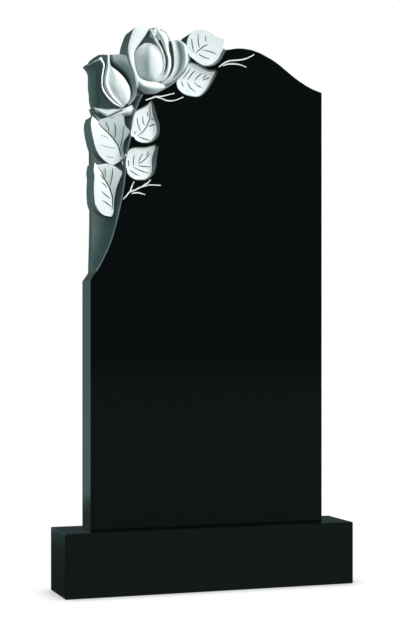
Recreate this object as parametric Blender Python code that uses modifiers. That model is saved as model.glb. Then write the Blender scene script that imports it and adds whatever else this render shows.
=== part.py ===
"""A granite headstone: a carved upright stone on a plain base block.

The upright stone is one slab. Its front is flat and polished. Its upper left corner is cut away in a
deep scoop, and a spray of two roses and six leaves is carved out of the same stone there.
Sizes are in metres, the front faces -Y, and the origin is the middle of the underside of the base.
"""
import math

import bmesh
import bpy
from mathutils import Vector

# Overall sizes
BASE_WIDTH = 0.740
BASE_DEPTH = 0.150
BASE_HEIGHT = 0.154
STELE_WIDTH = 0.600
STELE_THICKNESS = 0.080
STELE_HEIGHT = 1.216
CREST_DROP = 0.040
SHOULDER_DROP = 0.137
ARRIS = 0.0015
BED_GAP = 0.0003

# The spray is drawn 618 units high and 50 units deep, and is carved as high and as deep as given here
SPRAY_HEIGHT = 0.618
SCOOP_DEPTH = 0.050
SPRAY_UNIT = SPRAY_HEIGHT / 618
DEPTH_UNIT = SCOOP_DEPTH / 50
CREST_START = 343

# Places that follow from the sizes
STELE_FOOT = BASE_HEIGHT + BED_GAP
STELE_TOP = STELE_FOOT + STELE_HEIGHT
STELE_FRONT = -STELE_THICKNESS / 2
STELE_BACK = STELE_THICKNESS / 2
SHOULDER_LEVEL = STELE_TOP - SHOULDER_DROP
CREST_LEVEL = STELE_TOP - CREST_DROP
SPRAY_FOOT = STELE_TOP - SPRAY_HEIGHT
SPARE = 0.003

# Outline of the stone where it meets the spray: units to the right of its left edge and units above
# the foot of the spray, and True where the outline turns a corner
LEFT_EDGE = (
    (20, 440, False), (22, 408, False), (18, 394, False), (16, 300, False), (17, 150, False),
    (14, 20, True), (0, 0, True),
)
CREST_LEAF_EDGE = (
    (339, 583, False), (344, 599, True), (322, 604, False), (302, 614, False), (280, 618, False),
    (258, 610, False), (246, 592, False), (240, 560, True),
)
BEHIND_ROSES = (
    (205, 578, False), (160, 600, False), (122, 588, False), (104, 560, True), (100, 531, True),
    (62, 530, False), (30, 524, True), (21, 490, False),
)
# Top of the stone from the spray to the right shoulder: shares of the run and shares of the rise
CREST_SHAPE = (
    (0.0, 0.93), (0.12, 0.995), (0.2, 1.0), (0.3, 0.96), (0.42, 0.84), (0.53, 0.69),
    (0.65, 0.465), (0.77, 0.255), (0.885, 0.1),
)
# Edge of the polished face beside the scoop
SCOOP_EDGE = (
    (-4, 4), (8, 14), (16, 23), (31, 49), (53, 98), (72, 168), (84, 228), (88, 270), (92, 308),
    (100, 345), (103, 380), (110, 403), (120, 428), (128, 445), (134, 450), (160, 453), (186, 466),
    (211, 483), (235, 510), (247, 538), (242, 558), (241, 580), (248, 602), (254, 640),
)

# Petals and leaves that stand up out of the scoop. Each has guide lines side by side from one edge to
# the other, and each point is (right, up, depth below the polished face) in spray units.
RAISED = {
    # tall petal that closes the upper rose on its left and runs down beside the lower one
    "upper_left_petal": (
        ((118, 466, 16), (113, 486, 10), (107, 505, 8), (100, 521, 7), (95, 539, 6),
         (94, 561, 5), (101, 583, 5), (111, 605, 6), (130, 618, 8)),
        ((124, 472, 12), (118, 489, 6), (111, 507, 4), (104, 523, 2), (100, 540, 1),
         (101, 560, 1), (111, 580, 2), (123, 599, 4), (137, 616, 8)),
        ((136, 482, 14), (124, 494, 14), (117, 513, 15), (114, 535, 16), (115, 555, 17),
         (125, 570, 17), (135, 586, 16), (143, 600, 14), (150, 611, 12)),
    ),
    # short petal under the upper bud
    "upper_foot_petal": (
        ((118, 497, 14), (131, 488, 11), (145, 484, 10), (161, 483, 11), (176, 482, 13), (191, 476, 16)),
        ((118, 481, 12), (130, 472, 5), (145, 468, 3), (161, 468, 4), (176, 470, 8), (192, 473, 16)),
        ((124, 469, 24), (131, 461, 20), (145, 454, 18), (163, 454, 18), (178, 460, 19), (194, 471, 22)),
    ),
    # closed heart of the upper rose, with a lip, a hollow and a round belly
    "upper_bud": (
        ((154, 482, 14), (132, 487, 12), (117, 504, 9), (111, 525, 8),
         (112, 545, 9), (120, 563, 12), (135, 576, 16), (153, 579, 20)),
        ((154, 482, 14), (135, 490, 10), (122, 505, 7), (118, 524, 6),
         (119, 543, 7), (127, 559, 10), (139, 571, 15), (153, 579, 20)),
        ((154, 482, 14), (142, 492, 13), (133, 508, 13), (131, 526, 13),
         (132, 545, 13), (136, 559, 14), (144, 571, 17), (153, 579, 20)),
        ((154, 482, 14), (152, 493, 8), (154, 507, 4), (155, 523, 2),
         (154, 542, 3), (153, 557, 7), (152, 569, 13), (153, 579, 20)),
        ((154, 482, 14), (166, 491, 9), (175, 505, 7), (178, 524, 6),
         (176, 544, 7), (170, 559, 10), (162, 571, 15), (153, 579, 20)),
        ((154, 482, 14), (172, 488, 13), (185, 503, 13), (190, 524, 14),
         (188, 547, 14), (179, 563, 15), (166, 574, 17), (153, 579, 20)),
    ),
    # petal standing behind the upper bud
    "upper_back_petal": (
        ((123, 554, 30), (133, 574, 29), (143, 594, 27), (152, 613, 24)),
        ((147, 553, 24), (148, 573, 24), (150, 593, 23), (154, 614, 20)),
        ((188, 552, 18), (175, 572, 18), (164, 592, 17), (157, 613, 16)),
    ),
    # thin rim that wraps the upper bud on its right
    "upper_inner_rim": (
        ((148, 610, 12), (157, 592, 12), (167, 576, 12), (176, 559, 12),
         (182, 541, 12), (182, 523, 13), (176, 506, 14), (163, 493, 15)),
        ((152, 610, 7), (160, 591, 4), (170, 575, 3), (179, 558, 3),
         (185, 539, 3), (185, 520, 4), (179, 502, 6), (165, 490, 10)),
        ((156, 611, 12), (165, 594, 12), (175, 578, 12), (185, 561, 13),
         (191, 541, 13), (191, 521, 14), (184, 502, 15), (167, 488, 16)),
    ),
    # broad petal outside that rim
    "upper_right_petal": (
        ((158, 612, 12), (169, 592, 12), (179, 577, 12), (189, 559, 12), (195, 541, 12),
         (194, 523, 13), (187, 506, 14), (173, 491, 15), (158, 486, 17)),
        ((171, 611, 8), (181, 593, 3), (187, 576, 3), (192, 558, 4), (197, 539, 5),
         (197, 521, 6), (193, 506, 8), (179, 489, 11), (162, 482, 15)),
        ((186, 608, 12), (201, 593, 12), (200, 575, 12), (202, 559, 13), (206, 541, 14),
         (206, 524, 15), (201, 506, 16), (188, 488, 17), (166, 480, 20)),
    ),
    # open bowl-shaped petal at the far right of the upper rose
    "upper_outer_petal": (
        ((202, 588, 26), (205, 574, 27), (210, 559, 28), (213, 544, 29),
         (213, 526, 28), (207, 509, 27), (195, 495, 26), (180, 483, 26)),
        ((216, 592, 24), (222, 576, 28), (227, 560, 30), (229, 545, 31),
         (228, 526, 30), (220, 510, 29), (205, 492, 27), (184, 481, 26)),
        ((225, 592, 20), (236, 577, 18), (240, 559, 16), (242, 541, 15),
         (239, 524, 15), (229, 507, 16), (212, 490, 20), (189, 479, 26)),
        ((232, 590, 21), (246, 576, 17), (250, 559, 15), (252, 541, 14),
         (248, 522, 15), (238, 504, 17), (219, 487, 21), (195, 476, 27)),
    ),
    # big petal that rolls over the left edge of the stone and ends in a curled tip
    "lower_left_petal": (
        ((21, 422, 50), (17, 437, 50), (16, 453, 50), (14, 470, 50),
         (14, 487, 50), (14, 501, 48), (12, 510, 45), (1, 521, 42)),
        ((27, 413, 38), (21, 429, 34), (18, 446, 34), (16, 464, 34),
         (16, 484, 33), (16, 499, 32), (13, 509, 30), (5, 521, 30)),
        ((46, 409, 28), (29, 426, 20), (22, 443, 18), (19, 461, 17),
         (18, 481, 16), (18, 499, 15), (16, 511, 15), (8, 523, 18)),
        ((66, 411, 20), (45, 430, 12), (33, 446, 10), (25, 462, 9),
         (24, 480, 9), (25, 498, 9), (24, 513, 9), (15, 527, 12)),
        ((82, 417, 15), (59, 424, 6), (39, 442, 4), (29, 459, 3),
         (27, 478, 2), (29, 497, 2), (32, 515, 3), (23, 531, 7)),
        ((86, 419, 19), (63, 428, 11), (44, 445, 9), (34, 461, 8),
         (32, 479, 7), (34, 498, 7), (37, 517, 8), (29, 535, 10)),
    ),
    # small hollow fold between that petal and the lower bud
    "lower_back_fold": (
        ((10, 520, 46), (17, 536, 42), (28, 544, 36)),
        ((21, 515, 26), (25, 531, 26), (30, 543, 26)),
        ((36, 507, 22), (36, 527, 21), (37, 543, 20)),
        ((49, 507, 18), (49, 527, 17), (48, 542, 16)),
    ),
    # closed heart of the lower rose
    "lower_bud": (
        ((85, 418, 14), (67, 427, 9), (50, 439, 6), (38, 457, 5), (34, 475, 4),
         (36, 494, 4), (40, 511, 5), (42, 525, 6), (43, 541, 9)),
        ((85, 418, 14), (68, 428, 7), (52, 441, 4), (42, 458, 2), (37, 475, 1),
         (39, 493, 1), (43, 510, 2), (43, 525, 4), (45, 541, 8)),
        ((85, 418, 14), (73, 432, 10), (60, 446, 9), (51, 462, 9), (47, 478, 9),
         (48, 494, 9), (49, 507, 8), (47, 522, 6), (46, 541, 8)),
        ((85, 418, 14), (80, 435, 6), (71, 450, 3), (65, 463, 1), (63, 476, 1),
         (62, 489, 2), (57, 503, 4), (49, 520, 6), (47, 541, 8)),
        ((85, 418, 14), (92, 432, 8), (92, 447, 5), (88, 463, 5), (81, 477, 5),
         (73, 490, 6), (63, 502, 7), (50, 519, 9), (48, 541, 9)),
        ((85, 418, 14), (99, 435, 14), (103, 453, 14), (99, 470, 14), (90, 485, 14),
         (78, 498, 14), (66, 507, 13), (52, 517, 12), (50, 541, 11)),
    ),
    # hollow petal between the two roses
    "lower_right_petal": (
        ((50, 543, 20), (55, 525, 24), (69, 514, 26), (84, 504, 28), (96, 491, 29),
         (104, 476, 29), (108, 459, 28), (105, 445, 26), (93, 429, 22)),
        ((66, 545, 20), (71, 531, 24), (86, 520, 27), (98, 506, 28), (106, 491, 28),
         (111, 475, 27), (112, 460, 26), (107, 444, 24), (95, 428, 22)),
        ((80, 546, 22), (88, 532, 21), (98, 517, 19), (105, 502, 18), (111, 488, 17),
         (113, 473, 16), (113, 458, 15), (109, 442, 16), (97, 426, 18)),
        ((96, 544, 22), (101, 530, 18), (108, 514, 15), (114, 500, 13), (117, 486, 12),
         (118, 472, 12), (117, 455, 12), (112, 439, 13), (100, 424, 17)),
    ),
    # rolled petal under the lower bud
    "lower_rolled_petal": (
        ((41, 388, 24), (52, 397, 19), (65, 405, 16), (81, 413, 14), (95, 419, 13), (107, 425, 16)),
        ((43, 383, 22), (54, 390, 13), (68, 398, 9), (84, 404, 7), (98, 409, 7), (111, 416, 14)),
        ((49, 381, 26), (59, 385, 21), (73, 392, 18), (89, 397, 17), (102, 400, 17), (113, 409, 20)),
    ),
    # petal tucked between the bud and the roll
    "lower_under_petal": (
        ((16, 418, 38), (30, 415, 30), (45, 414, 24), (61, 416, 20), (81, 420, 18)),
        ((19, 412, 36), (30, 406, 28), (44, 401, 24), (61, 408, 24), (81, 415, 20)),
        ((20, 407, 38), (32, 399, 34), (44, 389, 28), (60, 398, 26), (79, 410, 22)),
    ),
    # small round leaf end under the roll
    "lower_sepal": (
        ((13, 393, 34), (21, 396, 28), (35, 388, 26), (47, 382, 26)),
        ((13, 388, 32), (22, 384, 21), (34, 381, 21), (47, 381, 25)),
        ((18, 383, 34), (26, 377, 28), (35, 377, 27), (48, 380, 28)),
    ),
    # upper hanging leaf, folded along its midrib
    "leaf_a": (
        ((7, 393, 12), (3, 378, 9), (4, 359, 6), (8, 339, 6), (14, 319, 8),
         (23, 302, 10), (38, 288, 13), (59, 279, 17), (84, 292, 22)),
        ((15, 390, 13), (16, 374, 10), (19, 355, 9), (26, 336, 9), (35, 318, 10),
         (43, 304, 12), (56, 292, 15), (69, 287, 18), (85, 293, 21)),
        ((27, 386, 24), (35, 372, 23), (44, 360, 22), (56, 349, 22), (65, 338, 22),
         (72, 326, 22), (77, 315, 21), (80, 304, 20), (87, 294, 20)),
        ((39, 390, 20), (64, 397, 16), (84, 397, 12), (88, 374, 10), (100, 361, 10),
         (96, 350, 12), (87, 336, 14), (85, 317, 16), (90, 296, 20)),
    ),
    # lower hanging leaf, folded along its midrib
    "leaf_b": (
        ((12, 282, 10), (9, 264, 5), (10, 248, 3), (9, 228, 3), (9, 208, 3),
         (12, 183, 4), (22, 166, 6), (36, 156, 9), (53, 154, 14)),
        ((17, 280, 12), (18, 260, 6), (20, 244, 5), (22, 226, 5), (24, 207, 5),
         (29, 187, 6), (36, 171, 8), (45, 161, 11), (54, 154, 14)),
        ((25, 278, 22), (31, 259, 20), (39, 245, 19), (47, 235, 18), (52, 224, 18),
         (55, 212, 17), (56, 198, 16), (58, 180, 15), (56, 155, 15)),
        ((43, 281, 20), (60, 277, 17), (73, 268, 14), (81, 260, 12), (75, 245, 13),
         (69, 228, 14), (65, 212, 15), (61, 196, 16), (61, 167, 17)),
    ),
}

# Leaves sunk in the polished face. The outermost guide lines stand above the face, so each hollow has
# a slanted wall.
SUNK = {
    # leaf that ends the spray on the crest of the stone
    "leaf_c": (
        ((246, 551, -1), (258, 542, -1), (272, 533, -1), (288, 527, -1), (306, 529, -1),
         (319, 535, -1), (331, 547, -1), (339, 561, -1), (349, 580, -1)),
        ((249, 554, 6), (261, 545, 5), (274, 536, 5), (289, 531, 5), (306, 534, 9),
         (318, 542, 12), (329, 554, 14), (336, 568, 15), (346, 585, 15)),
        ((246, 556, 7), (263, 559, 9), (276, 567, 11), (286, 576, 12), (297, 582, 13),
         (307, 586, 14), (317, 590, 14), (329, 594, 14), (351, 602, 14)),
        ((242, 557, 6), (238, 574, 4), (239, 589, 3), (246, 606, 3), (261, 619, 4),
         (282, 624, 6), (303, 621, 8), (321, 612, 10), (351, 605, 13)),
    ),
    # leaf below it
    "leaf_d": (
        ((214, 488, -1), (223, 501, -1), (234, 513, -1), (241, 527, -1), (247, 536, -1),
         (265, 533, -1), (282, 527, -1), (298, 520, -1), (324, 521, -1)),
        ((217, 488, 4), (228, 499, 5), (239, 511, 6), (246, 525, 7), (253, 534, 8),
         (268, 531, 9), (285, 524, 11), (302, 518, 13), (319, 519, 14)),
        ((217, 486, 5), (228, 491, 8), (237, 493, 9), (248, 493, 10), (262, 493, 11),
         (276, 493, 12), (293, 497, 13), (307, 505, 14), (319, 517, 14)),
        ((217, 485, 4), (220, 473, 4), (227, 464, 4), (239, 457, 4), (255, 454, 4),
         (274, 455, 6), (291, 469, 9), (304, 488, 12), (318, 515, 14)),
        ((214, 483, -1), (217, 470, -1), (225, 461, -1), (238, 454, -1), (254, 451, -1),
         (274, 452, -1), (293, 467, -1), (307, 488, -1), (324, 519, -1)),
    ),
    # upper small leaf
    "leaf_e": (
        ((103, 345, -1), (98, 351, -1), (101, 368, -1), (104, 385, -1), (108, 402, -1),
         (115, 411, -1), (129, 418, -1), (141, 426, -1), (153, 439, -1)),
        ((105, 347, 4), (101, 353, 4), (104, 369, 4), (107, 385, 4), (111, 401, 5),
         (118, 410, 6), (132, 417, 8), (145, 425, 10), (153, 434, 11)),
        ((108, 345, 5), (117, 348, 8), (127, 355, 9), (135, 364, 10), (142, 373, 11),
         (148, 384, 12), (151, 396, 13), (152, 410, 13), (154, 431, 12)),
        ((111, 342, 4), (121, 337, 5), (135, 335, 7), (149, 338, 9), (162, 349, 12),
         (169, 362, 14), (168, 380, 14), (160, 400, 14), (155, 428, 13)),
        ((109, 340, -1), (120, 334, -1), (133, 332, -1), (148, 334, -1), (163, 343, -1),
         (172, 358, -1), (172, 378, -1), (165, 401, -1), (155, 437, -1)),
    ),
    # lower small leaf
    "leaf_f": (
        ((87, 269, -1), (86, 284, -1), (89, 301, -1), (93, 313, -1), (104, 320, -1),
         (120, 322, -1), (137, 323, -1), (151, 327, -1), (171, 333, -1)),
        ((90, 271, 4), (89, 285, 4), (92, 301, 4), (96, 312, 4), (106, 319, 4),
         (122, 321, 6), (139, 322, 8), (153, 326, 10), (164, 330, 11)),
        ((90, 265, 5), (102, 273, 8), (113, 279, 9), (122, 282, 10), (130, 287, 11),
         (139, 294, 12), (147, 303, 13), (154, 311, 13), (164, 326, 12)),
        ((92, 261, 4), (100, 252, 4), (111, 245, 4), (125, 245, 6), (140, 248, 9),
         (153, 259, 12), (157, 275, 14), (156, 295, 14), (162, 321, 13)),
        ((89, 258, -1), (98, 249, -1), (110, 243, -1), (123, 242, -1), (139, 244, -1),
         (155, 256, -1), (163, 275, -1), (166, 298, -1), (171, 330, -1)),
    ),
}


def clear_scene():
    """Remove everything that is in the file at the start."""
    for item in list(bpy.data.objects):
        bpy.data.objects.remove(item, do_unlink=True)


def new_collection(name):
    """Add a collection to the scene."""
    collection = bpy.data.collections.new(name)
    bpy.context.scene.collection.children.link(collection)
    return collection


def stone_material(name, color, roughness):
    """A plain stone finish."""
    material = bpy.data.materials.new(name)
    material.use_nodes = True
    shader = material.node_tree.nodes["Principled BSDF"]
    shader.inputs["Base Color"].default_value = (*color, 1.0)
    shader.inputs["Roughness"].default_value = roughness
    return material


def keep_as(name, mesh, collection):
    """Put a mesh in the scene as a named object."""
    item = bpy.data.objects.new(name, mesh)
    collection.objects.link(item)
    return item


def cutter(item):
    """Mark an object as one that only shapes another."""
    item.hide_render = True
    item.display_type = "WIRE"
    return item


def boolean(item, other, operation):
    """Join another body to this one or cut it away."""
    step = item.modifiers.new(other.name, "BOOLEAN")
    step.operation = operation
    step.solver = "EXACT"
    step.object = other


def bevel(item, width):
    """Take the sharpness off every square edge."""
    step = item.modifiers.new("arris", "BEVEL")
    step.width = width
    step.segments = 1
    step.limit_method = "ANGLE"
    step.angle_limit = math.radians(50)


def apply_steps(item):
    """Replace an object's mesh by the result of its modifiers."""
    graph = bpy.context.evaluated_depsgraph_get()
    result = bpy.data.meshes.new_from_object(item.evaluated_get(graph))
    item.modifiers.clear()
    item.data = result


def spray_place(right, up, depth):
    """Turn spray units into a place on the stone."""
    return Vector((-STELE_WIDTH / 2 + right * SPRAY_UNIT,
                   STELE_FRONT + depth * DEPTH_UNIT,
                   SPRAY_FOOT + up * SPRAY_UNIT))


def through(points, steps):
    """Even points on a smooth line that passes through the given ones."""
    points = [Vector(point) for point in points]
    before = [2 * points[0] - points[1]] + points[:-1]
    after = points[1:] + [2 * points[-1] - points[-2]]
    line = []
    for number in range(steps + 1):
        place = number / steps * (len(points) - 1)
        span = min(int(place), len(points) - 2)
        share = place - span
        start, end = points[span], points[span + 1]
        leave = (end - before[span]) / 2
        arrive = (after[span + 1] - start) / 2
        line.append(start * (1 + 2 * share) * (1 - share) ** 2 + leave * share * (1 - share) ** 2
                    + end * (3 - 2 * share) * share ** 2 + arrive * (share - 1) * share ** 2)
    return line


def straight(points, steps):
    """Even points on the broken line that joins the given ones."""
    line = []
    for number in range(steps + 1):
        place = number / steps * (len(points) - 1)
        span = min(int(place), len(points) - 2)
        line.append(points[span].lerp(points[span + 1], place - span))
    return line


def carved_block(name, guides, far_side, along, across, collection):
    """Stretch a surface over guide lines and carry its border straight on to another plane."""
    lines = [through([spray_place(*point) for point in guide], along) for guide in guides]
    rows = [across([line[number] for line in lines], 2 * (len(lines) - 1)) for number in range(along + 1)]
    block = bmesh.new()
    known = {}

    def corner(place):
        key = tuple(round(value, 6) for value in place)
        if key not in known:
            known[key] = block.verts.new(place)
        return known[key]

    def face(corners):
        kept = [one for number, one in enumerate(corners) if one is not corners[number - 1]]
        if len(kept) > 2:
            block.faces.new(kept)

    grid = [[corner(place) for place in row] for row in rows]
    for low, high in zip(grid, grid[1:]):
        for number in range(len(low) - 1):
            face((low[number], low[number + 1], high[number + 1], high[number]))
    rim = grid[0] + [row[-1] for row in grid[1:]] + grid[-1][-2::-1] + [row[0] for row in grid[-2:0:-1]]
    rim = [one for number, one in enumerate(rim) if one is not rim[number - 1]]
    far = [block.verts.new((one.co.x, far_side, one.co.z)) for one in rim]
    for number in range(len(rim)):
        block.faces.new((rim[number - 1], rim[number], far[number], far[number - 1]))
    block.faces.new(far)
    bmesh.ops.recalc_face_normals(block, faces=block.faces[:])
    mesh = bpy.data.meshes.new(name)
    block.to_mesh(mesh)
    block.free()
    return keep_as(name, mesh, collection)


def scoop_block(collection):
    """The hollow beside the polished face: a quarter-round that opens out to the left edge."""
    outside = -60
    reach = 50
    sections = []
    for place in through([(right, up, 0) for right, up in SCOOP_EDGE], 2 * (len(SCOOP_EDGE) - 1)):
        right, up = place.x, place.y
        section = [(outside, up, -8), (right + 8, up, -8), (right + 1, up, -1)]
        for turn in range(1, 8):
            angle = math.radians(90 * turn / 7)
            section.append((right - reach * (1 - math.cos(angle)), up, reach * math.sin(angle)))
        section.append((outside - reach, up, reach))
        sections.append([spray_place(*point) for point in section])
    block = bmesh.new()
    rings = [[block.verts.new(place) for place in section] for section in sections]
    for low, high in zip(rings, rings[1:]):
        for number in range(len(low)):
            block.faces.new((low[number - 1], low[number], high[number], high[number - 1]))
    block.faces.new(rings[0])
    block.faces.new(rings[-1])
    bmesh.ops.recalc_face_normals(block, faces=block.faces[:])
    mesh = bpy.data.meshes.new("scoop")
    block.to_mesh(mesh)
    block.free()
    return cutter(keep_as("scoop", mesh, collection))


def slab(collection):
    """The stone's outline drawn as a curve and given its thickness."""
    left = -STELE_WIDTH / 2
    right = STELE_WIDTH / 2
    corners = [(left, STELE_FOOT, True), (right, STELE_FOOT, True), (right, SHOULDER_LEVEL, True)]
    start = left + CREST_START * SPRAY_UNIT
    rise = CREST_LEVEL - SHOULDER_LEVEL
    for run, lift in reversed(CREST_SHAPE):
        corners.append((start + run * (right - start), SHOULDER_LEVEL + lift * rise, run == 0))
    for across, up, sharp in CREST_LEAF_EDGE + BEHIND_ROSES + LEFT_EDGE:
        place = spray_place(across, up, 0)
        corners.append((place.x, place.z, sharp))
    outline = bpy.data.curves.new("slab outline", "CURVE")
    outline.dimensions = "2D"
    outline.fill_mode = "BOTH"
    outline.extrude = (STELE_THICKNESS + SPARE) / 2
    outline.resolution_u = 3
    spline = outline.splines.new("BEZIER")
    spline.bezier_points.add(len(corners) - 1)
    spline.use_cyclic_u = True
    for point, (x, z, sharp) in zip(spline.bezier_points, corners):
        point.co = (x, z, 0)
        point.handle_left_type = point.handle_right_type = "VECTOR" if sharp else "AUTO"
    drawn = bpy.data.objects.new("slab outline", outline)
    collection.objects.link(drawn)
    drawn.rotation_euler.x = math.radians(90)
    drawn.location.y = SPARE / 2
    bpy.context.view_layer.update()
    graph = bpy.context.evaluated_depsgraph_get()
    mesh = bpy.data.meshes.new_from_object(drawn.evaluated_get(graph))
    mesh.transform(drawn.matrix_world)
    body = bmesh.new()
    body.from_mesh(mesh)
    bmesh.ops.remove_doubles(body, verts=body.verts[:], dist=0.00005)
    flat = [edge for edge in body.edges if edge.is_manifold and edge.calc_face_angle() < 0.001]
    bmesh.ops.dissolve_edges(body, edges=flat, use_verts=False)
    bmesh.ops.recalc_face_normals(body, faces=body.faces[:])
    body.to_mesh(mesh)
    body.free()
    bpy.data.objects.remove(drawn)
    return mesh


def box(name, size, centre, collection):
    """A plain block."""
    block = bmesh.new()
    bmesh.ops.create_cube(block, size=1)
    bmesh.ops.scale(block, vec=size, verts=block.verts[:])
    bmesh.ops.translate(block, vec=centre, verts=block.verts[:])
    mesh = bpy.data.meshes.new(name)
    block.to_mesh(mesh)
    block.free()
    return keep_as(name, mesh, collection)


def saw_back(item):
    """Cut off what stands behind the back plane and close the cut."""
    body = bmesh.new()
    body.from_mesh(item.data)
    everything = body.verts[:] + body.edges[:] + body.faces[:]
    bmesh.ops.bisect_plane(body, geom=everything, dist=0.000001, plane_co=(0, STELE_BACK, 0),
                           plane_no=(0, 1, 0), clear_outer=True)
    bmesh.ops.holes_fill(body, edges=[edge for edge in body.edges if edge.is_boundary], sides=0)
    bmesh.ops.recalc_face_normals(body, faces=body.faces[:])
    body.to_mesh(item.data)
    body.free()


def build():
    """Make both pieces of the headstone."""
    clear_scene()
    kept = new_collection("headstone")
    shaping = new_collection("cutters")
    polished = stone_material("polished granite", (0.012, 0.014, 0.014), 0.12)
    plinth = stone_material("polished granite base", (0.012, 0.014, 0.014), 0.15)

    # Base block
    base = box("base", (BASE_WIDTH, BASE_DEPTH, BASE_HEIGHT), (0, 0, BASE_HEIGHT / 2), kept)
    bevel(base, ARRIS)
    apply_steps(base)
    base.data.materials.append(plinth)

    # Upright stone: the plain slab first, then the scoop and the sunk leaves
    stele = keep_as("stele", slab(shaping), kept)
    bevel(stele, ARRIS)
    boolean(stele, scoop_block(shaping), "DIFFERENCE")
    apply_steps(stele)
    for name, guides in SUNK.items():
        hollow = carved_block(name, guides, STELE_FRONT - 0.006, 10, straight, shaping)
        boolean(stele, cutter(hollow), "DIFFERENCE")
        apply_steps(stele)

    # Petals and hanging leaves are left standing through the whole thickness
    for number, (name, guides) in enumerate(RAISED.items()):
        across = straight if name.startswith("leaf") else through
        standing = carved_block(name, guides, STELE_BACK + SPARE + 0.0004 * (number + 1), 12, across, shaping)
        boolean(stele, cutter(standing), "UNION")
        apply_steps(stele)

    # The back is sawn flat
    saw_back(stele)
    stele.data.materials.clear()
    stele.data.materials.append(polished)


build()
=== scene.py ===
# %% [markdown]
# # A granite headstone with carved roses
# The real object is two pieces of black granite: an upright stone with a polished face, and a plain base
# block. Two roses, six leaves and three twigs are carved out of the upright stone itself, so the carving is
# pale and rough where the chisel has been and the rest is dark and glossy. The slab, each rose and each
# hanging leaf are made as pieces of their own, and the base only gets a finish.
#
# The solid model gives the sizes. We load it first and keep its overall box, which sets the size of the stone.

# %% Load the solid model
import math

import bpy
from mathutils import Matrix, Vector


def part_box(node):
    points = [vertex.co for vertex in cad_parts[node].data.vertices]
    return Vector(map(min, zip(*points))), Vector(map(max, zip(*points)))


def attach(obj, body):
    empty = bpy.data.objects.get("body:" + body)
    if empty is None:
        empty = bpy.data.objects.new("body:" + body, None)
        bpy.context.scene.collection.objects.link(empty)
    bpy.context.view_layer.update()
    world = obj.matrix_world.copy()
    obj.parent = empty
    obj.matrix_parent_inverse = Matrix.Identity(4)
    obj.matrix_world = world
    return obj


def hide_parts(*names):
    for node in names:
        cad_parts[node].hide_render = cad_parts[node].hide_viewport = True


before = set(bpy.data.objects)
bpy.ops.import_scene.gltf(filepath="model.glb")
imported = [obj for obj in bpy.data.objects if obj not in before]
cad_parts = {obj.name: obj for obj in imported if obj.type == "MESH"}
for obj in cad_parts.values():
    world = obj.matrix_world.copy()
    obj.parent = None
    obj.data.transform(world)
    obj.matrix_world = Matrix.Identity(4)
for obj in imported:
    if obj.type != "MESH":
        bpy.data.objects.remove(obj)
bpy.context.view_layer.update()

stele_low, stele_high = (Vector(corner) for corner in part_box("stele"))
base_low, base_high = (Vector(corner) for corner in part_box("base"))
print("upright stone", [round(value, 4) for value in (stele_high - stele_low)])
print("base block", [round(value, 4) for value in (base_high - base_low)])

# %% [markdown]
# ## Camera
# The photographer stood to the left of the stone and kept the camera level, at about hip height, so the
# upright edges stay parallel. A level camera that looks a little too low is corrected with a small vertical
# shift of the lens, just as an architecture photographer does it, and not by tilting it.

# %% Camera
eye = bpy.data.cameras.new("camera")
camera = bpy.data.objects.new("camera", eye)
bpy.context.scene.collection.objects.link(camera)
camera.location = (-1.1723, -3.3634, 0.5870)
camera.rotation_euler = (math.radians(90), 0, math.radians(-19.055))
eye.lens = 81.85
eye.sensor_width = 36
eye.shift_y = 0.052
bpy.context.scene.camera = camera
bpy.context.scene.view_settings.view_transform = "Standard"
print("camera stands", round(camera.location.length, 2), "m from the stone")

# %% [markdown]
# ## Studio
# A polished black stone shows the room around it, so the room is what we design first. The backdrop behind
# the stone is bright and gives the polished sides their grey. The room in front is dim, so the face stays
# black. Bare walls and lamps could do the same, but a world colour that changes with its direction is simpler
# and has no noise. It has three parts: an even fill that lights rough stone, the backdrop that only polished
# stone mirrors, and plain white for the camera.

# %% Room
def node(tree, kind, **values):
    """Add a node and set its named inputs or settings."""
    added = tree.nodes.new(kind)
    for name, value in values.items():
        label = name.replace("_", " ").title()
        if label in added.inputs:
            added.inputs[label].default_value = value
        else:
            setattr(added, name, value)
    return added


def wire(tree, *wires):
    """Link outputs to inputs, each wire given as a node, its output, the next node and its input."""
    for start, output, end, entry in wires:
        tree.links.new(start.outputs[output], end.inputs[entry])


def by_ray(tree, lit, mirrored, shown, out):
    """Show one shader to the camera, another one in reflections, and light the rough stone with a third."""
    seen = node(tree, "ShaderNodeLightPath")
    for_light = node(tree, "ShaderNodeMixShader")
    choose = node(tree, "ShaderNodeMixShader")
    wire(tree,
         (seen, "Is Glossy Ray", for_light, "Fac"),
         (lit, 0, for_light, 1),
         (mirrored, 0, for_light, 2),
         (seen, "Is Camera Ray", choose, "Fac"),
         (for_light, "Shader", choose, 1),
         (shown, 0, choose, 2),
         (choose, "Shader", out, "Surface"))


room = bpy.data.worlds.new("studio")
bpy.context.scene.world = room
room.use_nodes = True
tree = room.node_tree
tree.nodes.clear()
teal = (0.62, 1.0, 0.97, 1)
direction = node(tree, "ShaderNodeTexCoord")
towards = node(tree, "ShaderNodeVectorMath", operation="DOT_PRODUCT")
towards.inputs[1].default_value = (-0.36, 0.93, 0.0)
backdrop = node(tree, "ShaderNodeMapRange", interpolation_type="SMOOTHSTEP",
                from_min=0.86, from_max=0.985, to_min=0.085, to_max=0.50)
fill = node(tree, "ShaderNodeBackground", color=teal, strength=0.40)
mirrored = node(tree, "ShaderNodeBackground", color=teal)
white = node(tree, "ShaderNodeBackground", color=(1, 1, 1, 1), strength=1.0)
out = node(tree, "ShaderNodeOutputWorld")
wire(tree,
     (direction, "Generated", towards, 0),
     (towards, "Value", backdrop, "Value"),
     (backdrop, "Result", mirrored, "Strength"))
by_ray(tree, fill, mirrored, white, out)
print("room colour is set by direction")
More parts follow.
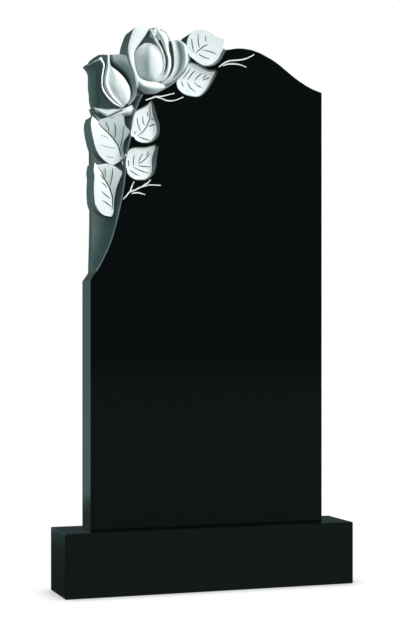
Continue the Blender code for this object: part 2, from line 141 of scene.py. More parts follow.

# %% [markdown]
# The floor is made in the same three parts. To the camera it glows white, with a painted soft shadow where the
# base stands on it, darker where the stone hides more of the room. It throws a little light back on the
# carving. The polished stone mirrors it as a glow painted on the floor, with a strength that changes from
# front
# to back: dim in front, nearly dark beside the base, bright further behind. That is what makes the side of the
# base darker than the side of the slab. A lit white floor would make both white.

# %% Floor
FLOOR_FRONT, FLOOR_BEHIND = -1, 3
FRONT_GLOW, FAR_GLOW = 0.32, 0.50
FLOOR_GLOW = ((0.225, 0.30), (0.25, 0.05), (0.45, 0.08), (0.54, 0.17), (0.57, 0.44))
bpy.ops.object.select_all(action="DESELECT")
bpy.ops.mesh.primitive_plane_add(size=60)
floor = bpy.context.object
floor.name = "floor"
pale = bpy.data.materials.new("pale floor")
pale.use_nodes = True
tree = pale.node_tree
tree.nodes.clear()
# painted contact shadow: the floor's glow dims where the stone hides the room
near = node(tree, "ShaderNodeAmbientOcclusion", samples=16, distance=0.06)
painted_contact_shadow = node(tree, "ShaderNodeMapRange", from_min=0.45, from_max=0.95, to_min=0.55, to_max=1.0)
bright = node(tree, "ShaderNodeEmission")
mirrored = node(tree, "ShaderNodeEmission", color=teal)
bounced = node(tree, "ShaderNodeEmission", color=teal, strength=0.16)
place = node(tree, "ShaderNodeTexCoord")
split = node(tree, "ShaderNodeSeparateXYZ")
behind = node(tree, "ShaderNodeMapRange", from_min=FLOOR_FRONT, from_max=FLOOR_BEHIND)
# painted reflection glow: how bright polished stone sees the floor, painted from front to back
painted_glow_ramp = node(tree, "ShaderNodeValToRGB")
painted_glow_ramp.color_ramp.elements[0].color = (FRONT_GLOW, FRONT_GLOW, FRONT_GLOW, 1)
painted_glow_ramp.color_ramp.elements[1].color = (FAR_GLOW, FAR_GLOW, FAR_GLOW, 1)
for share, strength in FLOOR_GLOW:
    painted_glow_ramp.color_ramp.elements.new(share).color = (strength, strength, strength, 1)
out = node(tree, "ShaderNodeOutputMaterial")
wire(tree,
     (near, "AO", painted_contact_shadow, "Value"),
     (painted_contact_shadow, "Result", bright, "Strength"),
     (place, "Object", split, "Vector"),
     (split, "Y", behind, "Value"),
     (behind, "Result", painted_glow_ramp, "Fac"),
     (painted_glow_ramp, "Color", mirrored, "Strength"))
by_ray(tree, bounced, mirrored, bright, out)
floor.data.materials.append(pale)
print("floor is", round(floor.dimensions.x), "m wide")

# %% [markdown]
# Two wide soft lamps stand at one place, to the right of the camera. Carved stone has no colour of its own to
# show its shape, only light and shade, so the lamps are placed well to the side: what faces right turns white
# and what faces left stays dark. Polished faces must not mirror the lamps as white patches, so the lamps are
# hidden from reflections. Only one of the two casts shadows, which keeps the gaps between the petals soft.

# %% Lamps
def soft_lamp(name, side, height, energy, width, shadow):
    """A distant lamp: its bearing to the right of the face, its height and its width in degrees."""
    side, height = math.radians(side), math.radians(height)
    level = math.cos(height)
    towards = Vector((math.sin(side) * level, -math.cos(side) * level, math.sin(height)))
    data = bpy.data.lights.new(name, "SUN")
    data.energy = energy
    data.angle = math.radians(width)
    data.use_shadow = shadow
    lamp = bpy.data.objects.new(name, data)
    lamp.visible_glossy = False
    bpy.context.scene.collection.objects.link(lamp)
    lamp.rotation_euler = towards.to_track_quat("Z", "Y").to_euler()
    print(name, "shines from", [round(value, 2) for value in towards])


soft_lamp("shadowless lamp", 50, 28, 2.55, 30, False)
soft_lamp("shadow lamp", 50, 28, 1.8, 30, True)

# %% [markdown]
# ## Finishes
# One granite shows many finishes. Polished, its fine crystals are nearly black and mirror the room. Honed, as
# on the ground of the scoop and on the sides of the petals, it is a dull dark grey. Along the arris of the
# crest and the scoop a pale line is painted as a highlight. Carved and frosted, it is almost white. Some
# petals, and strips of others, are painted in shade, half way or nearly all the way to a honed grey, and
# grooves and the gaps between petals are painted dark as their shade. Each finish is the same shader with
# other values, and noise at the size of the crystals varies its colour and its roughness.
# Photographs of granite would repeat and would not fit the carving, so the grain is computed from the place
# in the stone.

# %% Granite maker
def granite(name, dark, light, rough, gloss, crystal=1100, tooth=0.0):
    """A finish: two crystal colours, range of roughness, gloss, crystals per metre and height of its tooth."""
    finish = bpy.data.materials.new(name)
    finish.use_nodes = True
    tree = finish.node_tree
    shader = tree.nodes["Principled BSDF"]
    shader.inputs["Specular IOR Level"].default_value = gloss
    place = node(tree, "ShaderNodeTexCoord")
    crystals = node(tree, "ShaderNodeTexNoise", scale=crystal, detail=3)
    flecks = node(tree, "ShaderNodeTexVoronoi", feature="F1", scale=crystal * 0.45)
    both = node(tree, "ShaderNodeMath", operation="MULTIPLY_ADD")
    both.inputs[1].default_value = 0.35
    colour = node(tree, "ShaderNodeValToRGB")
    colour.color_ramp.elements[0].position = 0.35
    colour.color_ramp.elements[0].color = (*dark, 1)
    colour.color_ramp.elements[1].position = 0.85
    colour.color_ramp.elements[1].color = (*light, 1)
    roughness = node(tree, "ShaderNodeMapRange", to_min=rough[0], to_max=rough[1])
    wire(tree,
         (place, "Object", crystals, "Vector"),
         (place, "Object", flecks, "Vector"),
         (flecks, "Distance", both, 0),
         (crystals, "Fac", both, 2),
         (both, "Value", colour, "Fac"),
         (colour, "Color", shader, "Base Color"),
         (crystals, "Fac", roughness, "Value"),
         (roughness, "Result", shader, "Roughness"))
    if tooth:
        bump = node(tree, "ShaderNodeBump", strength=tooth, distance=0.0004)
        wire(tree,
             (both, "Value", bump, "Height"),
             (bump, "Normal", shader, "Normal"))
    return finish


# %% Finishes
# Some of these paint light into the colour: a pale highlight on arrises, shade on petals, shadow in gaps and
# shade in grooves.
finishes = (
    granite("polished granite", (0.0011, 0.0013, 0.0015), (0.0037, 0.0043, 0.0048), (0.04, 0.10), 0.15),
    granite("painted arris highlight", (0.36, 0.42, 0.415), (0.50, 0.56, 0.555), (0.4, 0.55), 0.2),
    granite("polished granite sides", (0.006, 0.009, 0.0085), (0.014, 0.019, 0.018), (0.10, 0.18), 0.15),
    granite("honed ground", (0.13, 0.17, 0.175), (0.18, 0.23, 0.235), (0.28, 0.42), 0.3, tooth=0.1),
    granite("honed sides of the carving", (0.16, 0.18, 0.18), (0.21, 0.23, 0.23), (0.3, 0.45), 0.25),
    granite("frosted carving", (0.71, 0.72, 0.72), (0.82, 0.83, 0.83), (0.5, 0.65), 0.3, tooth=0.15),
    granite("vein grooves", (0.06, 0.072, 0.072), (0.10, 0.12, 0.12), (0.5, 0.65), 0.2),
    granite("painted half shade on petals", (0.36, 0.42, 0.42), (0.44, 0.50, 0.50), (0.35, 0.5), 0.3, tooth=0.1),
    granite("painted shade on petals", (0.12, 0.15, 0.152), (0.16, 0.195, 0.197), (0.3, 0.45), 0.3, tooth=0.1),
    granite("painted shadow in gaps", (0.018, 0.024, 0.024), (0.035, 0.045, 0.045), (0.4, 0.55), 0.2),
)
POLISHED, ARRIS_HIGHLIGHT, SIDE, HONED, WALL, FROSTED, GROOVE_SHADE, HALF_SHADE, PAINTED_SHADE, GAP_SHADOW = range(len(finishes))
print("finishes:", ", ".join(finish.name for finish in finishes))

# %% [markdown]
# ## Guide lines
# A carver draws the flowers on the stone before cutting. We do the same: every petal and leaf has a few guide
# lines that run side by side along it, and every point of a line says how far right and up it lies on the
# face, and how deep below it. The spray is drawn on a sheet 618 units high, one unit to the millimetre.
# A smooth line through the points is better than straight pieces, because petals have no corners. Each span
# of it is a cubic that leaves one point and arrives at the next in the direction of their neighbours.

# %% Drawing on the stone
SPRAY_HEIGHT = 618
unit = 0.001
left_edge = -0.300
face = stele_low.y
back = stele_high.y
spray_foot = stele_high.z - SPRAY_HEIGHT * unit


def spray_place(right, up, depth):
    """Turn units of the drawing into a place in the stone."""
    return Vector((left_edge + right * unit, face + depth * unit, spray_foot + up * unit))


def through(points, steps):
    """Points at even steps on a smooth line that passes through the given ones."""
    points = [Vector(point) for point in points]
    before = [2 * points[0] - points[1]] + points[:-1]
    after = points[1:] + [2 * points[-1] - points[-2]]
    line = []
    for step in range(steps + 1):
        place = step / steps * (len(points) - 1)
        span = min(int(place), len(points) - 2)
        share = place - span
        start, end = points[span], points[span + 1]
        leave = (end - before[span]) / 2
        arrive = (after[span + 1] - start) / 2
        line.append(start * (1 + 2 * share) * (1 - share) ** 2 + leave * share * (1 - share) ** 2
                    + end * (3 - 2 * share) * share ** 2 + arrive * (share - 1) * share ** 2)
    return line


def straight(points, steps):
    """Points at even steps on the broken line that joins the given ones."""
    points = [Vector(point) for point in points]
    line = []
    for step in range(steps + 1):
        place = step / steps * (len(points) - 1)
        span = min(int(place), len(points) - 2)
        line.append(points[span].lerp(points[span + 1], place - span))
    return line


print("drawing starts", round(spray_foot, 4), "m above the ground")

# %% [markdown]
# ## From guide lines to stone
# Each petal starts as a flat grid. Its points are pulled onto the guide lines, as a carver works down to the
# drawn surface: a row of the grid runs across all guide lines, and a column runs along them. Then the whole
# sheet is extruded straight back and its new end is flattened on one plane, so the petal becomes a solid with
# upright sides. A petal could also be sculpted freely, but then it would no longer follow the drawing.

# %% Sheet and solid
def deselect():
    """Leave edit mode with nothing selected."""
    if bpy.context.object and bpy.context.object.mode != "OBJECT":
        bpy.ops.object.mode_set(mode="OBJECT")
    bpy.ops.object.select_all(action="DESELECT")


def pick(*objects):
    """Select only these objects and make the first one active."""
    deselect()
    for one in objects:
        one.select_set(True)
    bpy.context.view_layer.objects.active = objects[0]


def take_finishes(solid):
    """Give a solid every finish, so that its faces can choose one by number."""
    for finish in finishes:
        solid.data.materials.append(finish)


def close_seams(distance):
    """Merge points of the active mesh that lie closer than this, and turn its faces outwards."""
    bpy.ops.object.mode_set(mode="EDIT")
    bpy.ops.mesh.select_all(action="SELECT")
    bpy.ops.mesh.remove_doubles(threshold=distance)
    bpy.ops.mesh.normals_make_consistent(inside=False)
    bpy.ops.object.mode_set(mode="OBJECT")


def lay_sheet(name, guides, along, across, bend):
    """Lay a grid over guide lines, so that its rows run across them."""
    deselect()
    lines = [through(guide, along) for guide in guides]
    places = [place for step in range(along + 1) for place in bend([line[step] for line in lines], across)]
    bpy.ops.mesh.primitive_grid_add(x_subdivisions=across, y_subdivisions=along, size=0.1)
    sheet = bpy.context.object
    sheet.name = sheet.data.name = name
    for vertex, (right, up, depth) in zip(sheet.data.vertices, places):
        vertex.co = spray_place(right, up, depth)
    take_finishes(sheet)
    return sheet


def make_solid(sheet, end, front_finish, wall_finish):
    """Extrude a sheet straight to the upright plane y = end, and finish its front and its sides."""
    pick(sheet)
    front_count = len(sheet.data.polygons)
    bpy.ops.object.mode_set(mode="EDIT")
    bpy.ops.mesh.select_all(action="SELECT")
    bpy.ops.mesh.extrude_region_move(TRANSFORM_OT_translate={"value": (0, end - face, 0)})
    bpy.ops.transform.resize(value=(1, 0, 1), center_override=(0, end, 0))
    bpy.ops.object.mode_set(mode="OBJECT")
    for number, polygon in enumerate(sheet.data.polygons):
        polygon.material_index = front_finish if number < front_count else wall_finish
    close_seams(distance=0.00002)
    return sheet

# %% [markdown]
# ## Slab
# The upright stone is sawn from one slab 80 mm thick. Its outline is a closed curve: square at the foot, a
# wave from the right shoulder to the crest, then around the flowers and down the left edge. A filled curve
# with a thickness gives both faces and the sides in one step, and it stays exactly smooth where a row of
# points would show corners. Each drawn point says how far right and up it lies and whether it is a corner.
# Converted to a mesh, the slab's square edges are cut back a little, as on the real stone. That narrow arris
# is painted pale as a highlight along the crest, honed around the flowers and polished down both upright
# edges.

# %% Outline of the slab
LEFT_EDGE = (
    (20, 440, False), (22, 408, False), (18, 394, False), (16, 300, False), (17, 150, False),
    (14, 20, True), (0, 0, True),
)
CREST_LEAF_EDGE = (
    (339, 583, False), (344, 599, True), (322, 604, False), (302, 614, False), (280, 617.8, False),
    (258, 610, False), (246, 592, False), (240, 560, True),
)
BEHIND_ROSES = (
    (205, 578, False), (160, 600, False), (122, 588, False), (104, 560, True), (100, 531, True),
    (62, 530, False), (30, 524, True), (21, 490, False),
)
CREST_SHAPE = (
    (0.0, 0.93), (0.12, 0.995), (0.2, 1.0), (0.3, 0.96), (0.42, 0.84), (0.53, 0.69),
    (0.65, 0.465), (0.77, 0.255), (0.885, 0.1),
)
right_edge = 0.300
shoulder = stele_high.z - 0.137
crest = stele_high.z - 0.040
crest_start = left_edge + 343 * unit
crest_run, crest_rise = right_edge - crest_start, crest - shoulder
corners = [(left_edge, stele_low.z, True), (right_edge, stele_low.z, True), (right_edge, shoulder, True)]
for run, lift in reversed(CREST_SHAPE):
    corners.append((crest_start + run * crest_run, shoulder + lift * crest_rise, run == 0))
for right, up, sharp in CREST_LEAF_EDGE + BEHIND_ROSES + LEFT_EDGE:
    place = spray_place(right, up, 0)
    corners.append((place.x, place.z, sharp))
print("outline has", len(corners), "drawn points")

# %% Slab
ARRIS = 0.0012
LEFT_ARRIS_TOP, RIGHT_ARRIS = 450, 597
FLOWERS_END = 346
deselect()
bpy.ops.curve.primitive_bezier_circle_add()
stele = bpy.context.object
stele.name = "carved_stele"
outline = stele.data
outline.dimensions = "2D"
outline.fill_mode = "BOTH"
outline.extrude = (back - face) / 2
outline.resolution_u = 6
points = outline.splines[0].bezier_points
points.add(len(corners) - len(points))
for point, (x, z, sharp) in zip(points, corners):
    point.co = (x, z, 0)
    point.handle_left_type = point.handle_right_type = "VECTOR" if sharp else "AUTO"
stele.rotation_euler = (math.radians(90), 0, 0)
bpy.ops.object.convert(target="MESH")
bpy.ops.object.transform_apply(location=True, rotation=True, scale=True)
stele = bpy.context.object
take_finishes(stele)
bpy.ops.object.mode_set(mode="EDIT")
bpy.ops.mesh.select_mode(type="EDGE")
bpy.ops.mesh.select_all(action="SELECT")
bpy.ops.mesh.remove_doubles(threshold=0.00005)
bpy.ops.mesh.dissolve_limited(angle_limit=math.radians(0.2))
bpy.ops.mesh.normals_make_consistent(inside=False)
bpy.ops.object.mode_set(mode="OBJECT")
bpy.ops.object.mode_set(mode="EDIT")
bpy.ops.mesh.select_all(action="DESELECT")
bpy.ops.mesh.edges_select_sharp(sharpness=math.radians(50))
bpy.ops.mesh.bevel(offset=ARRIS, segments=2, profile=0.5)
bpy.ops.object.mode_set(mode="OBJECT")


def slab_finish(polygon):
    """Finish of a face of the slab: by where it looks, and on the arris by where it lies."""
    towards_face = abs(polygon.normal.y)
    right = (polygon.center.x - left_edge) / unit
    up = (polygon.center.z - spray_foot) / unit
    if towards_face > 0.99:
        return POLISHED
    if towards_face < 0.05:
        return SIDE
    if up < LEFT_ARRIS_TOP or right > RIGHT_ARRIS:
        return POLISHED
    # along the crest the arris is painted pale as a highlight
    return WALL if right < FLOWERS_END else ARRIS_HIGHLIGHT


for polygon in stele.data.polygons:
    polygon.material_index = slab_finish(polygon)
print("slab:", len(stele.data.polygons), "faces")

# %% [markdown]
# ## Cutting into the slab
# What is cut away is modelled as a solid of its own and taken off with a Boolean modifier. The exact solver
# keeps the finish of the cutting solid on the faces that it leaves, so a cut brings its own finish along. The
# tubes of veins cross one another, so for them the solver is told to look for crossings within a solid too.

# %% Cut and join
def combine(solid, other, operation):
    """Cut another solid away from this one, or add it to it, and remove the other."""
    pick(solid)
    step = solid.modifiers.new("combine", "BOOLEAN")
    step.operation = operation
    step.solver = "EXACT"
    step.use_self = "vein" in other.name
    step.object = other
    bpy.ops.object.modifier_apply(modifier=step.name)
    bpy.data.objects.remove(other)
    print(solid.name, "has", len(solid.data.polygons), "faces")


# %% [markdown]
# The polished face ends at the scoop, a deep quarter-round that opens out to the left edge. It is drawn as
# cross sections, one at each point of its edge: a narrow chamfer along the arris, painted pale as a highlight,
# then a wall that starts upright and runs out into the honed ground 50 mm lower. A cutting solid stands out
# past the stone on its open sides, so that no thin skin is left there.

# %% Scoop
SCOOP_EDGE = (
    (-4, 4), (8, 14), (16, 23), (31, 49), (53, 98), (72, 168), (84, 228), (88, 270), (92, 308),
    (100, 345), (103, 380), (110, 403), (120, 428), (128, 445), (134, 450), (160, 453), (186, 466),
    (211, 483), (235, 510), (250, 538), (248, 558), (246, 580), (250, 602), (254, 640),
)
SCOOP_REACH = 50
HIGHLIGHT_WIDTH = 1.8
LIP = 8
OUTSIDE = -110
SECTION_STEPS = 14
CLEAR_OF_FACE = 0.012


def scoop_section(right, up):
    """Cross section of the scoop where its edge lies at that place."""
    section = [(right + LIP, up, -LIP), (right, up, 0), (right - HIGHLIGHT_WIDTH, up, HIGHLIGHT_WIDTH)]
    wall = SCOOP_REACH - HIGHLIGHT_WIDTH
    for step in range(1, SECTION_STEPS + 1):
        angle = math.radians(90 * step / SECTION_STEPS)
        section.append((right - HIGHLIGHT_WIDTH - wall * (1 - math.cos(angle)), up,
                        HIGHLIGHT_WIDTH + wall * math.sin(angle)))
    return section + [(OUTSIDE, up, SCOOP_REACH)]


edge = through([(right, up, 0) for right, up in SCOOP_EDGE], 4 * (len(SCOOP_EDGE) - 1))
sections = [scoop_section(place.x, place.y) for place in edge]
guides = [[section[number] for section in sections] for number in range(len(sections[0]))]
scoop = lay_sheet("scoop", guides, len(edge) - 1, len(guides) - 1, straight)
make_solid(scoop, face - CLEAR_OF_FACE, HONED, HONED)
# the chamfer along the scoop's arris is painted pale as a highlight
for polygon in scoop.data.polygons:
    if face < polygon.center.y < face + HIGHLIGHT_WIDTH * unit:
        polygon.material_index = ARRIS_HIGHLIGHT
combine(stele, scoop, "DIFFERENCE")

# %% [markdown]
# ## Leaves sunk in the polished face
# Four leaves lie just below the face. Each is a pocket with slanted honed walls on its far side and the
# frosted leaf as its floor, so its outermost guide lines stand a little in front of the face. The veins are
# narrow grooves. They could be painted or bumped, but a cut groove catches the light from every side, and
# its faces are also painted dark as the shade inside it.
#
# A point of a guide line is written as (right, up, depth), in units of the drawing.

# %% Guide lines of the sunk leaves
SUNK_LEAVES = {
    # leaf that ends the spray on the crest of the stone
    "leaf_c": (
        ((246, 551, -1), (258, 542, -1), (272, 533, -1), (288, 527, -1), (306, 529, -1),
         (319, 535, -1), (331, 547, -1), (339, 561, -1), (349, 580, -1)),
        ((249, 554, 6), (261, 545, 5), (274, 536, 5), (289, 531, 5), (306, 534, 7),
         (318, 542, 9), (329, 554, 10), (336, 568, 11), (346, 585, 11)),
        ((246, 556, 7), (263, 559, 8), (276, 567, 8.5), (286, 576, 9), (297, 582, 9.5),
         (307, 586, 10), (317, 590, 10), (329, 594, 10), (351, 602, 10)),
        ((242, 557, 7), (238, 574, 6), (239, 589, 6), (246, 606, 6), (261, 619, 6.5),
         (282, 624, 7), (303, 621, 8), (321, 612, 9), (351, 605, 10)),
    ),
    # leaf below it
    "leaf_d": (
        ((214, 488, -1), (223, 501, -1), (234, 513, -1), (241, 527, -1), (247, 536, -1),
         (265, 533, -1), (282, 527, -1), (298, 520, -1), (324, 521, -1)),
        ((217, 488, 4), (228, 499, 5), (239, 511, 6), (246, 525, 7), (253, 534, 8),
         (268, 531, 9), (285, 524, 11), (302, 518, 13), (319, 519, 14)),
        ((217, 486, 5), (228, 491, 8), (237, 493, 9), (248, 493, 10), (262, 493, 11),
         (276, 493, 12), (293, 497, 13), (307, 505, 14), (319, 517, 14)),
        ((217, 485, 4), (220, 473, 4), (227, 464, 4), (239, 457, 4), (255, 454, 4),
         (274, 455, 6), (291, 469, 9), (304, 488, 12), (318, 515, 14)),
        ((214, 483, -1), (217, 470, -1), (225, 461, -1), (238, 454, -1), (254, 451, -1),
         (274, 452, -1), (293, 467, -1), (307, 488, -1), (324, 519, -1)),
    ),
    # upper small leaf
    "leaf_e": (
        ((103, 345, -1), (98, 351, -1), (101, 368, -1), (104, 385, -1), (108, 402, -1),
         (115, 411, -1), (129, 418, -1), (141, 426, -1), (153, 439, -1)),
        ((105, 347, 4), (101, 353, 4), (104, 369, 4), (107, 385, 4), (111, 401, 5),
         (118, 410, 6), (132, 417, 8), (145, 425, 10), (153, 434, 11)),
        ((108, 345, 5), (117, 348, 8), (127, 355, 9), (135, 364, 10), (142, 373, 11),
         (148, 384, 12), (151, 396, 13), (152, 410, 13), (154, 431, 12)),
        ((111, 342, 4), (121, 337, 5), (135, 335, 7), (149, 338, 9), (162, 349, 12),
         (169, 362, 14), (168, 380, 14), (160, 400, 14), (155, 428, 13)),
        ((109, 340, -1), (120, 334, -1), (133, 332, -1), (148, 334, -1), (163, 343, -1),
         (172, 358, -1), (172, 378, -1), (165, 401, -1), (155, 437, -1)),
    ),
    # lower small leaf
    "leaf_f": (
        ((87, 269, -1), (86, 284, -1), (89, 301, -1), (93, 313, -1), (104, 320, -1),
         (120, 322, -1), (137, 323, -1), (151, 327, -1), (171, 333, -1)),
        ((90, 271, 4), (89, 285, 4), (92, 301, 4), (96, 312, 4), (106, 319, 4),
         (122, 321, 6), (139, 322, 8), (153, 326, 10), (164, 330, 11)),
        ((90, 265, 5), (102, 273, 8), (113, 279, 9), (122, 282, 10), (130, 287, 11),
         (139, 294, 12), (147, 303, 13), (154, 311, 13), (164, 326, 12)),
        ((92, 261, 4), (100, 252, 4), (111, 245, 4), (125, 245, 6), (140, 248, 9),
         (153, 259, 12), (157, 275, 14), (157, 297, 14), (165.5, 325, 12)),
        ((89, 258, -1), (98, 249, -1), (110, 243, -1), (123, 242, -1), (139, 244, -1),
         (155, 256, -1), (163, 275, -1), (166, 298, -1), (171, 330, -1)),
    ),
}

# %% [markdown]
# Every vein is a line on the drawing, written as (right, up) points, because its depth follows from the leaf.
# The two folded leaves that hang at the left edge also have a midrib and a few wide furrows.

# %% Veins
VEINS = {
    "leaf_a": (((28, 347), (40, 346), (50, 340)), ((27, 325), (40, 322), (53, 320), (68, 319)),
               ((42, 299), (52, 296), (63, 297))),
    "leaf_b": (((27, 254), (33, 247), (39, 242)), ((30, 235), (38, 230), (45, 223)),
               ((30, 213), (38, 207), (45, 202), (54, 196)), ((32, 192), (41, 187), (49, 181), (57, 177))),
    "leaf_c": (
        ((266, 559), (279, 570), (289, 578), (300, 583)), ((256, 594), (258, 579), (262, 561)),
        ((273, 609), (274, 588), (277, 574)), ((293, 603), (294, 589)),
        ((273, 558), (288, 551), (305, 547)), ((285, 569), (310, 565), (321, 561)),
    ),
    "leaf_d": (
        ((234, 495), (245, 509), (254, 523)), ((247, 493), (256, 506), (266, 517)),
        ((265, 493), (274, 503), (284, 512)), ((287, 499), (297, 510)), ((230, 489), (235, 474)),
        ((246, 488), (252, 475), (266, 464)), ((264, 488), (274, 480), (284, 477)),
        ((286, 495), (305, 503)),
    ),
    "leaf_e": (
        ((151, 428), (152, 410), (151, 395), (143, 375), (133, 361), (119, 349)),
        ((117, 395), (119, 379), (127, 361)), ((133, 399), (133, 384), (138, 377)),
        ((145, 410), (146, 398)), ((110, 360), (113, 354)), ((154, 396), (162, 390)),
        ((147, 374), (166, 382)), ((122, 348), (134, 344), (151, 341)),
    ),
    "leaf_f": (
        ((154, 311), (136, 292), (121, 282)), ((133, 309), (126, 297), (122, 285)),
        ((149, 317), (142, 302)), ((111, 304), (108, 291), (109, 277)), ((95, 290), (96, 275)),
        ((121, 279), (133, 277), (154, 277)), ((108, 274), (128, 266), (149, 261)),
        ((99, 267), (110, 259), (122, 254)),
    ),
}
MIDRIBS = {
    "leaf_a": ((24, 380), (30, 371), (42, 360), (54, 350), (63, 339), (71, 329), (76, 318), (79, 306),
               (81, 299)),
    "leaf_b": ((22, 274), (28, 265), (35, 252), (42, 237), (50, 225), (55, 211), (58, 199), (58, 182),
               (57, 170)),
}
FURROWS = {
    "leaf_a": (((42, 382), (45, 373), (49, 365), (49, 356)),
               ((62, 379), (65, 370), (66, 358), (65, 348), (63, 341)),
               ((85, 372), (83, 363), (83, 351), (82, 342), (80, 332), (77, 321))),
    "leaf_b": (((39, 270), (40, 261), (40, 248)),
               ((58, 271), (57, 261), (56, 249), (54, 237), (52, 226))),
}
print("veins:", sum(len(veins) for veins in VEINS.values()))

# %% [markdown]
# A vein is cut with a thin tapered tube that lies along the leaf. The tube is a curve with a round bevel. To
# find its depth, a ray is sent through each of its points onto the sheet of the leaf, from well below the
# face. Beside each furrow stands a small frosted ridge. The ridges are the same tubes, but they stay as stone
# instead of being cut away. Every kind of tube has its radius in metres and the colour of what it leaves:
# painted shade in the cut grooves, frosted on the ridges.

# %% Gouge
# the cut grooves take a painted shade, dark as the shadow inside them
TUBES = {
    "fine": (0.0008, GROOVE_SHADE),
    "vein": (0.0015, GROOVE_SHADE),
    "midrib": (0.0018, GROOVE_SHADE),
    "furrow": (0.0016, GROOVE_SHADE),
    "ridge": (0.0012, FROSTED),
}
TUBE_STEPS = 14
BELOW_ALL = 60
TUBE_LIFT = Vector((0, -0.0001, 0))


def tube(name, path, radii, finish):
    """A closed round tube along a path, as one mesh."""
    deselect()
    bpy.ops.curve.primitive_bezier_curve_add()
    line = bpy.context.object.data
    line.splines.clear()
    line.dimensions = "3D"
    line.bevel_depth = 1.0
    line.bevel_resolution = 2
    line.use_fill_caps = True
    spline = line.splines.new("POLY")
    spline.points.add(len(path) - 1)
    for point, spot, radius in zip(spline.points, path, radii):
        point.co = (*spot, 1)
        point.radius = radius
    bpy.ops.object.convert(target="MESH")
    made = bpy.context.object
    made.name = made.data.name = name
    take_finishes(made)
    for polygon in made.data.polygons:
        polygon.material_index = finish
    close_seams(distance=0.00001)
    return made


def tubes_on(sheet, lines):
    """Tubes of the given kinds along lines on a sheet, joined in one object."""
    bpy.context.view_layer.update()
    tubes = []
    for line, kind in lines:
        path = []
        for place in through([(right, up, 0) for right, up in line], TUBE_STEPS):
            below = spray_place(place.x, place.y, BELOW_ALL)
            hit, where, _, _ = sheet.ray_cast(below, Vector((0, -1, 0)))
            if hit:
                path.append(where + TUBE_LIFT)
        radius, finish = TUBES[kind]
        bulge = [math.sin(math.pi * step / (len(path) - 1)) ** 0.6 for step in range(len(path))]
        tubes.append(tube("vein", path, [radius * (0.35 + 0.65 * swell) for swell in bulge], finish))
    pick(*tubes)
    bpy.ops.object.join()
    return bpy.context.object


def vein_gouges(sheet, name):
    """What the gouge takes out of a leaf."""
    lines = [(vein, "fine" if name == "leaf_a" else "vein") for vein in VEINS[name]]
    lines += [(furrow, "furrow") for furrow in FURROWS.get(name, ())]
    if name in MIDRIBS:
        lines.append((MIDRIBS[name], "midrib"))
    return tubes_on(sheet, lines)


# %% [markdown]
# The sunk leaves are now cut one by one. A groove in the stone is a ridge on the solid that cuts it, so the
# tubes of the veins are added to the cutting solid before it is taken off the slab.

# %% Sunk leaves
SUNK_ALONG = 54
SUNK_ACROSS = 10
STEEP = 0.72
for name, guides in SUNK_LEAVES.items():
    pocket = lay_sheet(name, guides, SUNK_ALONG, SUNK_ACROSS * (len(guides) - 1), straight)
    gouges = vein_gouges(pocket, name)
    make_solid(pocket, face - CLEAR_OF_FACE / 2, FROSTED, FROSTED)
    for polygon in pocket.data.polygons:
        if abs(polygon.normal.y) < STEEP and polygon.center.y > face - 0.001:
            polygon.material_index = WALL
    combine(pocket, gouges, "UNION")
    combine(stele, pocket, "DIFFERENCE")

# %% [markdown]
# ## Engraved twigs
# Three bare twigs run out from the leaves over the polished face. They are round-bottomed grooves a few
# millimetres wide, cut with a tube that lies half in the face and gets thinner towards its ends. A curve with
# a round bevel is the natural tube, and the radius of each of its points gives the taper.

# %% Twigs
TWIGS = (
    ((137, 436), (150, 441), (163, 446), (175, 447), (190, 451), (210, 457)),
    ((163, 445), (175, 443), (188, 439), (200, 438), (215, 441), (233, 449)),
    ((325, 528), (338, 538), (353, 545), (380, 549), (395, 553), (408, 559), (418, 565)),
    ((335, 532), (350, 537), (370, 538.5), (385, 536), (397, 532)),
    ((81, 195), (90, 205), (98, 214), (110, 218), (123, 225), (135, 229), (150, 232), (175, 232)),
    ((125, 225), (135, 232), (143, 237), (150, 245)),
    ((98, 214), (102, 225), (108, 239)),
    ((102, 210), (115, 212), (125, 211), (136, 208)),
)
TWIG_RADIUS = 0.0021
TWIG_DEPTH = -0.6
TWIG_STEPS = 24
for twig in TWIGS:
    line = through([(right, up, TWIG_DEPTH) for right, up in twig], TWIG_STEPS)
    radii = [TWIG_RADIUS * (0.72 + 0.28 * math.sin(math.pi * min(step / 20, 1))) for step in range(len(line))]
    combine(stele, tube("gouge", [spray_place(*place) for place in line], radii, FROSTED), "DIFFERENCE")

# %% [markdown]
# The cuts leave some points that lie on top of each other and faces without a surface. They are merged first,
# because they would shade as dark specks. Then the carved surfaces are shaded smooth up to an angle that keeps
# the edges of the cuts crisp. The polished face stays flat shaded, so nothing bends its reflections.

# %% Slab shading
MERGE = 0.000002
pick(stele)
bpy.ops.object.mode_set(mode="EDIT")
bpy.ops.mesh.select_all(action="SELECT")
bpy.ops.mesh.remove_doubles(threshold=MERGE)
bpy.ops.mesh.dissolve_degenerate(threshold=MERGE)
bpy.ops.object.mode_set(mode="OBJECT")
bpy.ops.object.shade_smooth_by_angle(angle=math.radians(28))
for polygon in stele.data.polygons:
    polygon.use_smooth = polygon.material_index not in (POLISHED, ARRIS_HIGHLIGHT)
print("finished slab:", len(stele.data.polygons), "faces")

# %% [markdown]
# ## Roses
# Each rose is a closed bud with petals around it. The carver left every petal standing on its own, so each
# one is its own solid that reaches back through the slab, and neighbours simply run into each other. Joined
# with a Boolean they would be one skin, but the cuts would leave thin triangles that shade badly. The guide
# lines of a petal run from its foot to its tip, or from left to right where it lies across the rose.

